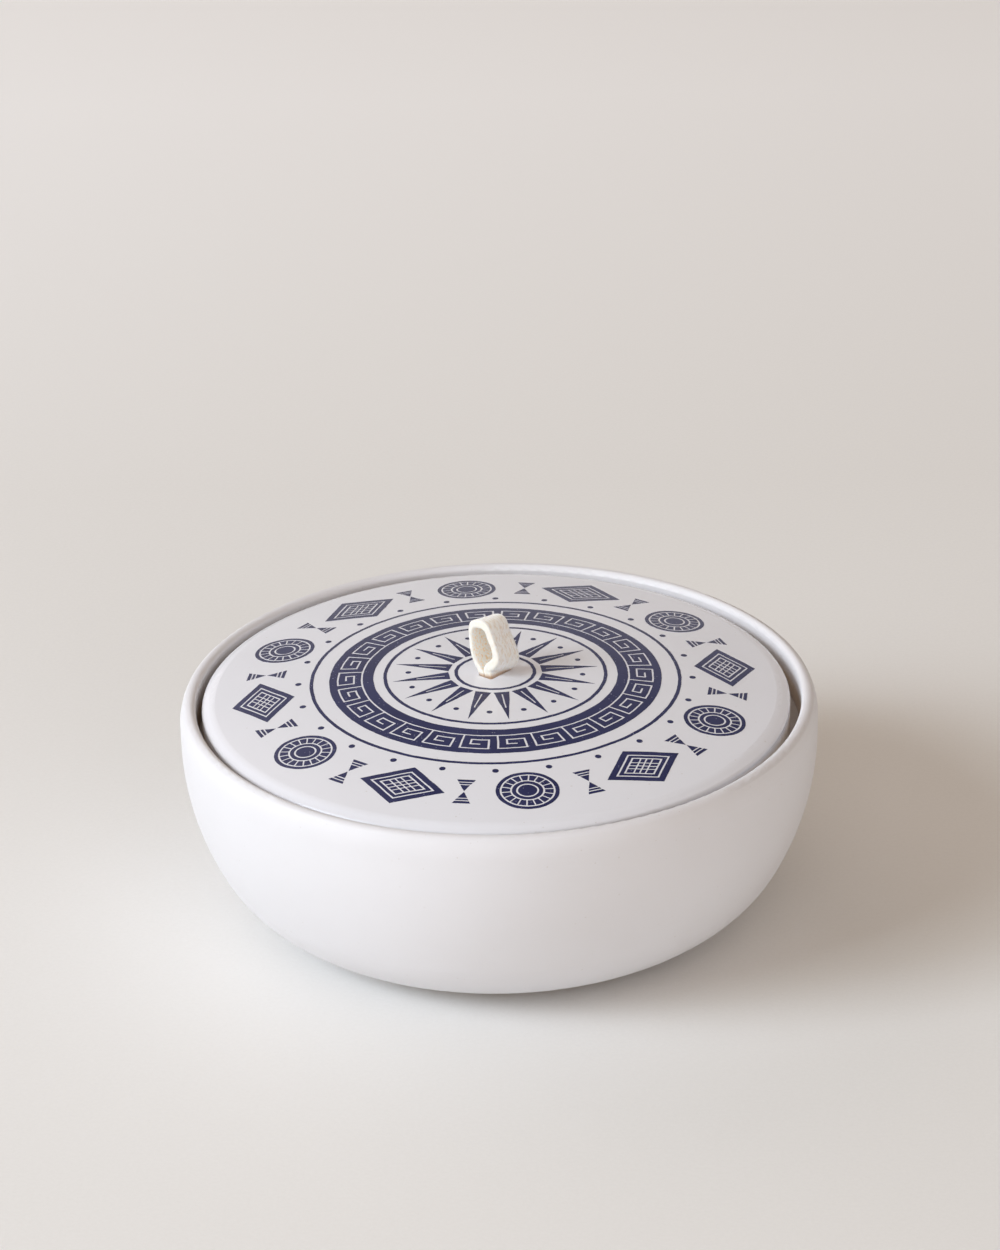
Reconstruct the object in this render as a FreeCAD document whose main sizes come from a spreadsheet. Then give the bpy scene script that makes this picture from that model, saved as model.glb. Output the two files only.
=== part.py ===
import FreeCAD, Part
import math
import os
import re

import Sketcher

# A round lidded ceramic box. A low bowl with a swelling wall stands on a hidden foot ring.
# A shallow domed lid lies on a ledge inside its mouth and is lifted by a leather loop,
# whose two tails pass through a slot and are held under the lid by a rivet.
# All sizes are in millimetres. The origin is the centre of the foot ring's underside, Z up.

SIZES = [
    # The bowl's wall, from its foot to the crest of its lip
    ("outside_radius", 90.0),
    ("crest_height", 64.5),
    ("wall", 4.6),
    ("wall_lean", 17.5),
    ("belly_depth", 28.8),
    ("base_round_share", 0.52),
    ("belly_round_share", 0.47),
    # The lip's rounded crest
    ("lip_slant_inset", 1.65),
    ("lip_slant_drop", 3.4),
    ("lip_side_round_share", 0.66),
    ("lip_top_round_share", 0.33),
    ("lip_inner_round", 1.55),
    # The foot ring
    ("foot_height", 1.5),
    ("foot_inset", 25.5),
    ("foot_width", 5.0),
    ("foot_round", 0.6),
    # The ledge that carries the lid
    ("ledge_depth", 12.0),
    ("ledge_width", 7.0),
    ("ledge_thickness", 2.4),
    ("ledge_brace", 6.0),
    ("ledge_round", 0.6),
    # The lid, which lies a little to one side in its mouth
    ("lid_clearance", 2.4),
    ("lid_shift_share", 0.32),
    ("lid_turn", 318.0),
    ("lid_thickness", 5.2),
    ("lid_edge", 10.3),
    ("lid_edge_width", 5.0),
    ("lid_edge_top_round", 1.05),
    ("lid_edge_under_round", 1.2),
    ("lid_edge_inner_round", 2.5),
    ("lid_shoulder_width", 2.9),
    ("lid_shoulder_drop", 1.4),
    ("lid_shoulder_round", 6.0),
    ("lid_dome_height", 5.8),
    ("lid_dome_corner_share", 0.5),
    ("lid_dome_round_share", 0.95),
    # The slot for the loop's tails
    ("slot_clearance", 0.4),
    ("slot_round", 0.9),
    # The leather loop
    ("strap_width", 8.5),
    ("strap_thickness", 2.1),
    ("strap_gap", 0.1),
    ("loop_width", 10.9),
    ("loop_height", 16.4),
    ("loop_neck_height", 0.6),
    ("loop_neck_round", 1.4),
    ("tail_length", 8.5),
    # The rivet through the tails
    ("rivet_drop", 4.2),
    ("rivet_radius", 1.4),
    ("rivet_hole_clearance", 0.15),
    ("rivet_head_radius", 3.0),
    ("rivet_head_thickness", 1.0),
    ("rivet_head_round", 0.5),
    ("rivet_cap_thickness", 1.8),
    ("rivet_cap_depth", 1.1),
    ("rivet_cap_clearance", 0.05),
]

# The corners of the loop's middle line above the lid, seen along the strap's width.
# Across and round are shares of the loop's half width, up is a share of its height.
LOOP_CORNER_SHARES = [
    (-0.98, 0.72, 1.20),
    (-0.92, 1.00, 0.50),
    (0.34, 1.00, 0.54),
    (0.96, 0.60, 1.60),
    (1.07, 0.26, 0.50),
]

FULL_TURN = 360
RIGHT_ANGLE = "90 deg"

# The numbers of a curve's start, end and centre among its points, and of the sketch's own axes
START, END, CENTRE = 1, 2, 3
X_AXIS, Y_AXIS = -1, -2
ORIGIN = (X_AXIS, START)

document = FreeCAD.newDocument("lidded_box")


def make_sheet():
    """The driving sizes, one to a row, each under its own name."""
    sheet = document.addObject("Spreadsheet::Sheet", "Sizes")
    for row, (name, value) in enumerate(SIZES, 1):
        sheet.set(f"A{row}", name)
        sheet.set(f"B{row}", str(value))
        sheet.setAlias(f"B{row}", name)
    document.recompute()


def sizes(expression):
    """Give each driving size that an expression names its place in the sheet."""
    names = {name for name, _ in SIZES}
    return re.sub("[a-z_]+", lambda word: "Sizes." * (word[0] in names) + word[0], expression)


def value_of(owner, expression):
    result = owner.evalExpression(sizes(expression))
    return float(getattr(result, "Value", result))


def bind(sketch, constraint, expression):
    """Add a constraint whose value follows an expression of the driving sizes."""
    index = sketch.addConstraint(constraint)
    name = f"{constraint.Type}_{index}"
    sketch.renameConstraint(index, name)
    sketch.setExpression(f"Constraints.{name}", sizes(expression))


def new_body(label):
    body = document.addObject("PartDesign::Body", label)
    body.Label = label
    return body


def new_sketch(body, name, plane):
    """A sketch on one of the body's own origin planes."""
    sketch = body.newObject("Sketcher::SketchObject", name)
    base = [feature for feature in body.Origin.OriginFeatures if feature.Role == plane][0]
    sketch.AttachmentSupport = [(base, "")]
    sketch.MapMode = "FlatFace"
    return sketch


def hold_point(sketch, geometry, end, x, y):
    """Hold a point at its two distances from the sketch's origin."""
    if x == "0":
        sketch.addConstraint(Sketcher.Constraint("PointOnObject", geometry, end, Y_AXIS))
    else:
        across = Sketcher.Constraint("DistanceX", *ORIGIN, geometry, end, value_of(sketch, x))
        bind(sketch, across, x)
    if y == "0":
        sketch.addConstraint(Sketcher.Constraint("PointOnObject", geometry, end, X_AXIS))
    else:
        up = Sketcher.Constraint("DistanceY", *ORIGIN, geometry, end, value_of(sketch, y))
        bind(sketch, up, y)


def add_outline(sketch, corners, closed=True):
    """Straight sides between corners, each corner (x, y, radius) sharp where radius is None."""
    count = len(corners)
    places = [FreeCAD.Vector(value_of(sketch, x), value_of(sketch, y), 0) for x, y, _ in corners]

    def toward(here, there):
        return (places[there % count] - places[here % count]).normalize()

    def reach(here):
        """How far a corner's round reaches along the sides that it joins."""
        here = here % count
        if corners[here][2] is None:
            return 0
        between = toward(here, here - 1).getAngle(toward(here, here + 1))
        return value_of(sketch, corners[here][2]) / math.tan(between / 2)

    sides = []
    for here in range(count if closed else count - 1):
        ahead = toward(here, here + 1)
        first = places[here] + ahead * reach(here)
        last = places[(here + 1) % count] - ahead * reach(here + 1)
        sides.append(sketch.addGeometry(Part.LineSegment(first, last), False))

    for here, (x, y, radius) in enumerate(corners):
        if not closed and here == 0:
            hold_point(sketch, sides[0], START, x, y)
            continue
        before = sides[here - 1]
        if not closed and here == count - 1:
            hold_point(sketch, before, END, x, y)
            continue
        after = sides[here]
        if radius is None:
            sketch.addConstraint(Sketcher.Constraint("Coincident", before, END, after, START))
            hold_point(sketch, after, START, x, y)
            continue
        back, ahead = toward(here, here - 1), toward(here, here + 1)
        size = value_of(sketch, radius)
        inward = (back + ahead).normalize()
        centre = places[here] + inward * (size / math.sin(back.getAngle(ahead) / 2))
        points = [places[here] + back * reach(here), centre - inward * size,
                  places[here] + ahead * reach(here)]
        turns_left = back.cross(ahead).z < 0
        arc = sketch.addGeometry(Part.Arc(*(points if turns_left else reversed(points))), False)
        corner = sketch.addGeometry(Part.Point(places[here]), True)
        near, far = (START, END) if turns_left else (END, START)
        sketch.addConstraint(Sketcher.Constraint("Tangent", before, END, arc, near))
        sketch.addConstraint(Sketcher.Constraint("Tangent", arc, far, after, START))
        sketch.addConstraint(Sketcher.Constraint("PointOnObject", corner, START, before))
        sketch.addConstraint(Sketcher.Constraint("PointOnObject", corner, START, after))
        hold_point(sketch, corner, START, x, y)
        bind(sketch, Sketcher.Constraint("Radius", arc, size), radius)


def revolve(body, name, corners, axis="V_Axis"):
    """A solid of revolution from an outline in the body's upright plane."""
    sketch = new_sketch(body, f"{name}_outline", "XZ_Plane")
    add_outline(sketch, corners)
    document.recompute()
    feature = body.newObject("PartDesign::Revolution", name)
    feature.Profile = sketch
    feature.ReferenceAxis = (sketch, [axis])
    feature.Angle = FULL_TURN
    document.recompute()


def pocket_through(body, name, sketch):
    """Cut a sketch's outline right through the body, and see that material went."""
    before = body.Shape.Volume
    feature = body.newObject("PartDesign::Pocket", name)
    feature.Profile = sketch
    feature.Type = "ThroughAll"
    feature.Midplane = True
    document.recompute()
    if body.Shape.Volume >= before:
        raise RuntimeError(f"{name} cut nothing")


def place(body, height):
    """Set a body on the lid's own axis, turned as the lid lies, at a height."""
    body.setExpression("Placement.Base.x", sizes(f"0 - {LID_SHIFT}"))
    body.setExpression("Placement.Base.z", sizes(height))
    body.setExpression("Placement.Rotation.Axis.z", "1")
    body.setExpression("Placement.Rotation.Angle", sizes("lid_turn"))


def slant_rounds(level, upright, level_share, upright_share):
    """Radii that round both ends of a slanted side between a level and an upright one."""
    rise = f"abs( {upright[1]} - ( {level[1]} ) )"
    run = f"abs( {upright[0]} - ( {level[0]} ) )"
    length = f"sqrt( ( {rise} )^2 + ( {run} )^2 )"
    slope = f"atan2( {rise} ; {run} )"
    return (slope,
            f"{level_share} * {length} / tan( {slope} / 2 )",
            f"{upright_share} * {length} / tan( ( {RIGHT_ANGLE} - {slope} ) / 2 )")


# Derived places that more than one piece follows
MOUTH_RADIUS = "( outside_radius - wall )"
LEDGE_RADIUS = f"( {MOUTH_RADIUS} - ledge_width )"
LEDGE_HEIGHT = "( crest_height - ledge_depth )"
LID_RADIUS = f"( {MOUTH_RADIUS} - lid_clearance )"
LID_SHIFT = "( lid_clearance * lid_shift_share )"
LID_TOP = "( ledge_depth + lid_dome_height )"
TAILS_HALF = "( strap_thickness + strap_gap / 2 )"
TAIL_MIDDLE = "( ( strap_thickness + strap_gap ) / 2 )"


def make_bowl():
    """The bowl: wall and floor of one thickness, the lid's ledge and the foot ring."""
    body = new_body("bowl")
    base = ("( outside_radius - wall_lean )", "foot_height")
    belly = ("outside_radius", "( crest_height - belly_depth )")
    slope, base_round, belly_round = slant_rounds(
        base, belly, "base_round_share", "belly_round_share")
    lip_level = ("( outside_radius - lip_slant_inset )", "crest_height")
    lip_upright = ("outside_radius", "( crest_height - lip_slant_drop )")
    _, lip_top_round, lip_side_round = slant_rounds(
        lip_level, lip_upright, "lip_top_round_share", "lip_side_round_share")
    inner_base_x = f"{base[0]} - wall * tan( {slope} / 2 )"
    inner_belly_y = f"{belly[1]} + wall * tan( ( {RIGHT_ANGLE} - {slope} ) / 2 )"
    revolve(body, "wall_and_floor", [
        ("0", "foot_height", None),
        (*base, base_round),
        (*belly, belly_round),
        (*lip_upright, lip_side_round),
        (*lip_level, lip_top_round),
        (MOUTH_RADIUS, "crest_height", "lip_inner_round"),
        (MOUTH_RADIUS, inner_belly_y, f"{belly_round} - wall"),
        (inner_base_x, "foot_height + wall", f"{base_round} - wall"),
        ("0", "foot_height + wall", None),
    ])
    inside_wall = f"{MOUTH_RADIUS} + wall / 2"
    ledge_under = f"{LEDGE_HEIGHT} - ledge_thickness"
    revolve(body, "ledge", [
        (LEDGE_RADIUS, ledge_under, "ledge_round"),
        (inside_wall, f"{ledge_under} - ledge_brace", None),
        (inside_wall, LEDGE_HEIGHT, None),
        (LEDGE_RADIUS, LEDGE_HEIGHT, "ledge_round"),
    ])
    foot_outer = f"{base[0]} - foot_inset"
    foot_inner = f"{foot_outer} - foot_width"
    inside_floor = "foot_height + wall / 2"
    revolve(body, "foot_ring", [
        (foot_inner, "0", "foot_round"),
        (foot_outer, "0", "foot_round"),
        (foot_outer, inside_floor, None),
        (foot_inner, inside_floor, None),
    ])
    return body


def make_lid():
    """The domed lid, whose thick edge stands on the ledge at the lid's own zero height."""
    body = new_body("lid")
    edge_inner = f"( {LID_RADIUS} - lid_edge_width )"
    underside = f"( {LID_TOP} - lid_thickness )"
    shoulder_radius = f"( {LID_RADIUS} - lid_shoulder_width )"
    shoulder_height = "( lid_edge + lid_shoulder_drop )"
    rise = f"( {LID_TOP} - {shoulder_height} )"
    under_rise = f"( {rise} * {edge_inner} / {shoulder_radius} )"

    def dome(radius, rise):
        """The corner and the round of a dome that sinks by rise at radius."""
        corner = f"( lid_dome_corner_share * {radius} )"
        slope = f"atan2( {rise} ; {radius} - {corner} )"
        return corner, f"lid_dome_round_share * {corner} / tan( {slope} / 2 )"

    top_corner, top_round = dome(shoulder_radius, rise)
    under_corner, under_round = dome(edge_inner, under_rise)
    revolve(body, "dome", [
        ("0", underside, None),
        (under_corner, underside, under_round),
        (edge_inner, f"{underside} - {under_rise}", "lid_edge_inner_round"),
        (edge_inner, "0", "lid_edge_under_round"),
        (LID_RADIUS, "0", "lid_edge_under_round"),
        (LID_RADIUS, "lid_edge", "lid_edge_top_round"),
        (shoulder_radius, shoulder_height, "lid_shoulder_round"),
        (top_corner, LID_TOP, top_round),
        ("0", LID_TOP, None),
    ])
    slot = new_sketch(body, "slot_outline", "XY_Plane")
    half_x = f"( {TAILS_HALF} + slot_clearance )"
    half_y = "( strap_width / 2 + slot_clearance )"
    signs = [("", ""), ("0 - ", ""), ("0 - ", "0 - "), ("", "0 - ")]
    add_outline(slot, [(x + half_x, y + half_y, "slot_round") for x, y in signs])
    pocket_through(body, "slot", slot)
    place(body, LEDGE_HEIGHT)
    return body


def make_strap():
    """The leather strap, folded to a loop above the lid: its zero height is the lid's top."""
    body = new_body("pull_strap")
    tail_end = "( 0 - lid_thickness - tail_length )"
    path = new_sketch(body, "middle_line", "XZ_Plane")
    half_width = "( ( loop_width - strap_thickness ) / 2 )"
    height = "( loop_height - strap_thickness / 2 )"
    bends = [(f"{across} * {half_width}", f"{up} * {height}", f"{round_share} * {half_width}")
             for across, up, round_share in LOOP_CORNER_SHARES]
    add_outline(path, [
        (f"0 - {TAIL_MIDDLE}", tail_end, None),
        (f"0 - {TAIL_MIDDLE}", "loop_neck_height", "loop_neck_round"),
        *bends,
        (TAIL_MIDDLE, "loop_neck_height", "loop_neck_round"),
        (TAIL_MIDDLE, tail_end, None),
    ], closed=False)
    section = new_sketch(body, "strap_section", "XY_Plane")
    section.setExpression("AttachmentOffset.Base.z", sizes(tail_end))
    outer, inner = f"0 - {TAILS_HALF}", "0 - strap_gap / 2"
    low, high = "0 - strap_width / 2", "strap_width / 2"
    add_outline(section, [(outer, low, None), (inner, low, None), (inner, high, None),
                          (outer, high, None)])
    document.recompute()
    pipe = body.newObject("PartDesign::AdditivePipe", "folded_strap")
    pipe.Profile = section
    pipe.Spine = (path, [])
    document.recompute()
    hole = new_sketch(body, "rivet_hole_outline", "YZ_Plane")
    hole_radius = "rivet_radius + rivet_hole_clearance"
    hole_height = "0 - lid_thickness - rivet_drop"
    middle = FreeCAD.Vector(0, value_of(hole, hole_height), 0)
    circle = Part.Circle(middle, FreeCAD.Vector(0, 0, 1), value_of(hole, hole_radius))
    ring = hole.addGeometry(circle, False)
    hold_point(hole, ring, CENTRE, "0", hole_height)
    bind(hole, Sketcher.Constraint("Radius", ring, circle.Radius), hole_radius)
    pocket_through(body, "rivet_hole", hole)
    place(body, f"{LEDGE_HEIGHT} + {LID_TOP}")
    return body


def make_rivet():
    """The rivet across the tails: a headed post and a cap pressed on its end."""
    height = f"{LEDGE_HEIGHT} + {LID_TOP} - lid_thickness - rivet_drop"
    shank_end = f"( {TAILS_HALF} + rivet_cap_depth )"
    cap_end = f"( {TAILS_HALF} + rivet_cap_thickness )"
    head_end = f"0 - {TAILS_HALF} - rivet_head_thickness"
    bore = "( rivet_radius + rivet_cap_clearance )"
    post = new_body("rivet_post")
    revolve(post, "post", [
        (head_end, "0", None),
        (shank_end, "0", None),
        (shank_end, "rivet_radius", None),
        (f"0 - {TAILS_HALF}", "rivet_radius", None),
        (f"0 - {TAILS_HALF}", "rivet_head_radius", None),
        (head_end, "rivet_head_radius", "rivet_head_round"),
    ], "H_Axis")
    cap = new_body("rivet_cap")
    revolve(cap, "cap", [
        (TAILS_HALF, bore, None),
        (shank_end, bore, None),
        (shank_end, "0", None),
        (cap_end, "0", None),
        (cap_end, "rivet_head_radius", "rivet_head_round"),
        (TAILS_HALF, "rivet_head_radius", None),
    ], "H_Axis")
    for body in (post, cap):
        place(body, height)
    return [post, cap]


def check(bodies):
    """Stop if any object failed, or any piece isn't one sound solid."""
    document.recompute()
    for item in document.Objects:
        if "Invalid" in item.State or "Error" in item.State:
            raise RuntimeError(f"{item.Name} failed: {item.State}")
    for body in bodies:
        if body.Shape.isNull() or not body.Shape.isValid() or len(body.Shape.Solids) != 1:
            raise RuntimeError(f"{body.Label} is not one sound solid")


def main():
    make_sheet()
    bodies = [make_bowl(), make_lid(), make_strap(), *make_rivet()]
    check(bodies)
    os.makedirs("parts", exist_ok=True)
    for body in bodies:
        box = body.Shape.BoundBox
        print(body.Label, f"volume {body.Shape.Volume:.1f}", f"z {box.ZMin:.2f} to {box.ZMax:.2f}")
        body.Shape.exportStep(f"parts/{body.Label}.step")


main()
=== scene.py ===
from bisect import bisect_right
import math

import bmesh
import bpy
from mathutils import Matrix, Vector, geometry, noise
from mathutils.bvhtree import BVHTree


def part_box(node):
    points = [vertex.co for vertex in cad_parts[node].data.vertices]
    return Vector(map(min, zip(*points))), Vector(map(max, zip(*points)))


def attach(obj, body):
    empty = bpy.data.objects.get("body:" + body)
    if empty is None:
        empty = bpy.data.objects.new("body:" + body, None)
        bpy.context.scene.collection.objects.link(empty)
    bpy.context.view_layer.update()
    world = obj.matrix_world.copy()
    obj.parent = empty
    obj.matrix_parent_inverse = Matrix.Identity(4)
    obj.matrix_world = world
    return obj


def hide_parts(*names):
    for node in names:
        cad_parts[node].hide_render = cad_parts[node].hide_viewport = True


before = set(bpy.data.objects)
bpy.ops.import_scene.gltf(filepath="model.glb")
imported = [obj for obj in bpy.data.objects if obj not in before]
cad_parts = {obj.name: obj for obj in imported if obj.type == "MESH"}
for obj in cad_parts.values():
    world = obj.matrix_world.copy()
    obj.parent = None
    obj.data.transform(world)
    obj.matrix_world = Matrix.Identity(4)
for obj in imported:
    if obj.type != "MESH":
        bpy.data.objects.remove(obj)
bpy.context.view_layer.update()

# A low white ceramic box with a swelling wall. Its domed lid lies inside the mouth, carries a
# dark blue printed ornament and is lifted by a folded leather loop.
# Metres throughout, apart from what is said to be in millimetres; MM turns the small sizes
# below into metres.
MM = 0.001
FULL_TURN = 2 * math.pi
RIGHT = Vector((1, 0, 0))
BACK = Vector((0, 1, 0))
UP = Vector((0, 0, 1))

# The lid as it lies in the bowl
lid_low, lid_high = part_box("lid")
LID_MIDDLE = Vector(((lid_low.x + lid_high.x) / 2, (lid_low.y + lid_high.y) / 2, 0))
LID_TOP = lid_high.z
LID_SEAT = lid_low.z
LID_REACH = lid_high.x - LID_MIDDLE.x

# Edges of the pieces made here that turn by more than this stay sharp
SMOOTH_LIMIT = math.radians(40)


def new_object(name, data, body=None):
    """An object in the scene, which may ride on a body."""
    made = bpy.data.objects.new(name, data)
    bpy.context.scene.collection.objects.link(made)
    if body:
        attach(made, body)
    return made


def mesh_of(name, shape):
    """End a bmesh and give its mesh."""
    mesh = bpy.data.meshes.new(name)
    shape.to_mesh(mesh)
    shape.free()
    return mesh


def shade_smooth(shape):
    """Shade a shape smooth, apart from its sharp edges."""
    for face in shape.faces:
        face.smooth = True
    for edge in shape.edges:
        if len(edge.link_faces) == 2:
            edge.smooth = edge.calc_face_angle() < SMOOTH_LIMIT


def rising(widths):
    """The running sums of some widths, from zero."""
    sums = [0.0]
    for width in widths:
        sums.append(sums[-1] + width)
    return sums


def blend_in(value, low, high):
    """0 below low, 1 above high, and smooth between."""
    share = min(1.0, max(0.0, (value - low) / (high - low)))
    return share * share * (3 - 2 * share)


# ---- The printed ornament ----

# The ink lies this far above the glaze and reaches this far into it
INK_RISE = 0.045 * MM
INK_DEPTH = 0.08 * MM
# The flat ink is cut into squares and its outlines into steps before it is laid on the dome
INK_GRID = 4 * MM
INK_EDGE_STEP = 0.8 * MM
# Its outlines waver: how many waves to a metre, and how far, in millimetres; the seed makes
# them the same each time
INK_WAVERS = ((260, 0.11), (1100, 0.05))
WAVER_SEED = 1
INK_TURN = math.radians(7)
# Points nearer to each other than this are joined; points this near to a cut lie on it
JOIN_REACH = 0.001 * MM
CUT_REACH = 1e-7
# The ink is dropped on the lid from this far above its top
DROP = 10 * MM

# Widths of the lines that are cut out of the ink: between its rings, and across its parts
LINE = 0.5 * MM
FINE_LINE = 0.4 * MM

# From the loop outwards: plain rings as inner and outer radius, and the rest by the radius on
# which the middles of its motifs lie
FIRST_RING = (10.6 * MM, 11.6 * MM)
SECOND_RING = (30.6 * MM, 31.6 * MM)
THIRD_RING = (51.4 * MM, 52.4 * MM)
RING_STEP = 3 * MM
RAY_COUNT = 16
RAY_RADIUS, RAY_LENGTH, RAY_HALF = 18.4 * MM, 16.0 * MM, 2.25 * MM
# A triangle with its corners on a circle of radius 1: its length and half its width
TRIANGLE_LENGTH, TRIANGLE_HALF = 1.5, math.sin(math.radians(60))
RAY_DOT_RADIUS, RAY_DOT = 24.6 * MM, 0.8 * MM
BORDER_COUNT = 6
BORDER_RADIUS = 65.6 * MM
BORDER_DOT_RADIUS, BORDER_DOT = 55.6 * MM, 0.9 * MM
DOT_SIDES = 20

LOZENGE_HALVES = (8.8 * MM, 12.4 * MM)
LOZENGE_RINGS = (1.7 * MM, LINE, 1.0 * MM, LINE)
LATTICE_ANGLE = math.radians(54.6)
LATTICE_STEP = 1.5 * MM

SHIELD_SIDES = 56
SHIELD_RADIUS = 8.6 * MM
SHIELD_RINGS = (1.1 * MM, LINE, 2.3 * MM, LINE, 1.1 * MM, LINE)
SHIELD_CUTS = 9

TRIANGLE_HALVES = (3.5 * MM, 2.9 * MM)
TRIANGLE_MIDDLE = 3.7 * MM
TRIANGLE_CUTS = (3.2 * MM, 4.3 * MM)

# One turn of the running key from its inner edge outwards: # is cut line and . is ink
KEY_ROWS = (
    "........",
    "########",
    "#.......",
    "#.#####.",
    "#.#...#.",
    "#.###.#.",
    "#.....#.",
    "#######.",
    "........",
)
KEY_COUNT = 26
KEY_INNER = 34.4 * MM
KEY_INK = 1.75 * MM
KEY_HEIGHTS = (3.0 * MM, LINE, KEY_INK, LINE, KEY_INK, LINE, KEY_INK, LINE, 2.2 * MM)
KEY_WIDTHS = (LINE, KEY_INK) * 4


def slice_faces(shape, faces, place, across):
    """Slice some faces along a plane; give all the faces that come of them."""
    parts = {part for face in faces for part in (face, *face.edges, *face.verts)}
    made = bmesh.ops.bisect_plane(shape, geom=list(parts), plane_co=place, plane_no=across,
                                  dist=CUT_REACH)
    return [part for part in made["geom"] if isinstance(part, bmesh.types.BMFace)]


def cut_line(shape, faces, angle, offset=0.0):
    """Cut a fine straight line out of some faces; give the faces that are left of them."""
    across = Vector((-math.sin(angle), math.cos(angle), 0))
    for side in (-FINE_LINE / 2, FINE_LINE / 2):
        faces = slice_faces(shape, faces, across * (offset + side), across)
    gone = {face for face in faces
            if abs(face.calc_center_median().dot(across) - offset) < FINE_LINE / 2}
    left = [face for face in faces if face not in gone]
    bmesh.ops.delete(shape, geom=list(gone), context="FACES")
    return left


def flat_face(shape, sides, half_along, half_across, middle=0.0):
    """A capped outline whose first corner points along +X."""
    made = bmesh.ops.create_circle(shape, cap_ends=True, radius=1, segments=sides)
    place = (Matrix.Translation((middle, 0, 0)) @ Matrix.Diagonal((half_along, half_across, 1, 1))
             @ Matrix.Rotation(-math.pi / 2, 4, "Z"))
    bmesh.ops.transform(shape, matrix=place, verts=made["verts"])
    shape.normal_update()
    return made["verts"][0].link_faces[:]


def nested(shape, core, widths):
    """Inset a face again and again: ink and cut lines take turns. Give each part of ink."""
    parts = []
    for number, width in enumerate(widths):
        ring = bmesh.ops.inset_region(shape, faces=core, thickness=width, use_boundary=True,
                                      use_even_offset=True)
        if number % 2:
            bmesh.ops.delete(shape, geom=ring["faces"], context="FACES")
        else:
            parts.append(ring["faces"])
    return parts + [core]


def set_round(shape, motif, count, radius, between=False):
    """Set copies of a motif round the lid's middle, from +X or half a gap on; use it up."""
    first = FULL_TURN / (2 * count) if between else 0.0
    for number in range(count):
        copy = motif.copy()
        place = Matrix.Rotation(first + FULL_TURN * number / count, 4, "Z")
        copy.transform(place @ Matrix.Translation((radius, 0, 0)))
        shape.from_mesh(copy)
        bpy.data.meshes.remove(copy)
    bpy.data.meshes.remove(motif)


def lozenge():
    """A nested lozenge with a lattice cut into its core."""
    shape = bmesh.new()
    core = nested(shape, flat_face(shape, 4, *LOZENGE_HALVES), LOZENGE_RINGS)[-1]
    for angle in (LATTICE_ANGLE, -LATTICE_ANGLE):
        for offset in (-LATTICE_STEP, 0, LATTICE_STEP):
            core = cut_line(shape, core, angle, offset)
    return mesh_of("lozenge", shape)


def shield():
    """A disc of cut rings with short strokes across its second ring of ink."""
    shape = bmesh.new()
    disc = flat_face(shape, SHIELD_SIDES, SHIELD_RADIUS, SHIELD_RADIUS)
    strokes = nested(shape, disc, SHIELD_RINGS)[1]
    for number in range(SHIELD_CUTS):
        strokes = cut_line(shape, strokes, math.pi * (number + 0.5) / SHIELD_CUTS)
    return mesh_of("shield", shape)


def double_triangle():
    """Two small triangles tip to tip, each cut by two lines."""
    shape = bmesh.new()
    half_along, half_across = TRIANGLE_HALVES
    for side in (-1, 1):
        part = flat_face(shape, 3, -side * half_along, half_across, side * TRIANGLE_MIDDLE)
        for offset in TRIANGLE_CUTS:
            part = cut_line(shape, part, math.pi / 2, -side * offset)
    return mesh_of("double_triangle", shape)


def dot(radius):
    """A small round dot."""
    shape = bmesh.new()
    flat_face(shape, DOT_SIDES, radius, radius)
    return mesh_of("dot", shape)


def ray():
    """A long pointed ray with one line cut along its wider part."""
    shape = bmesh.new()
    core = flat_face(shape, 3, RAY_LENGTH / TRIANGLE_LENGTH, RAY_HALF / TRIANGLE_HALF)
    for side in (1, -1):
        both = slice_faces(shape, core, RIGHT * side * RAY_LENGTH / 4, RIGHT)
        core = [face for face in both if side * face.calc_center_median().x < RAY_LENGTH / 4]
    cut_line(shape, core, 0)
    return mesh_of("ray", shape)


def ring_of_ink(shape, inner, outer):
    """A flat ring, spun from one short line."""
    line = [shape.verts.new((radius, 0, 0)) for radius in (inner, outer)]
    edge = shape.edges.new(line)
    bmesh.ops.spin(shape, geom=[*line, edge], cent=(0, 0, 0), axis=UP, dvec=(0, 0, 0),
                   angle=FULL_TURN, steps=round(outer * FULL_TURN / RING_STEP), use_merge=True,
                   use_duplicate=False)


def key_band(shape):
    """A ring of ink with a running square key cut into it: a grid, thinned out and rolled up."""
    columns, rows = len(KEY_WIDTHS), len(KEY_HEIGHTS)
    made = bmesh.ops.create_grid(shape, x_segments=columns * KEY_COUNT, y_segments=rows, size=1)
    pattern = made["verts"]
    lines = []
    for face in {face for vert in pattern for face in vert.link_faces}:
        middle = face.calc_center_median()
        column = int((middle.x + 1) / 2 * KEY_COUNT * columns) % columns
        row = int((middle.y + 1) / 2 * rows)
        if KEY_ROWS[row][column] == "#":
            lines.append(face)
    bmesh.ops.delete(shape, geom=lines, context="FACES")
    heights, spans = rising(KEY_HEIGHTS), rising(KEY_WIDTHS)
    for vert in [vert for vert in pattern if vert.is_valid]:
        across = round((vert.co.x + 1) / 2 * KEY_COUNT * columns)
        up = round((vert.co.y + 1) / 2 * rows)
        unit, column = divmod(across, columns)
        angle = (unit + spans[column] / spans[-1]) / KEY_COUNT * FULL_TURN
        radius = KEY_INNER + heights[up]
        vert.co = (radius * math.cos(angle), radius * math.sin(angle), 0)


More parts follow.
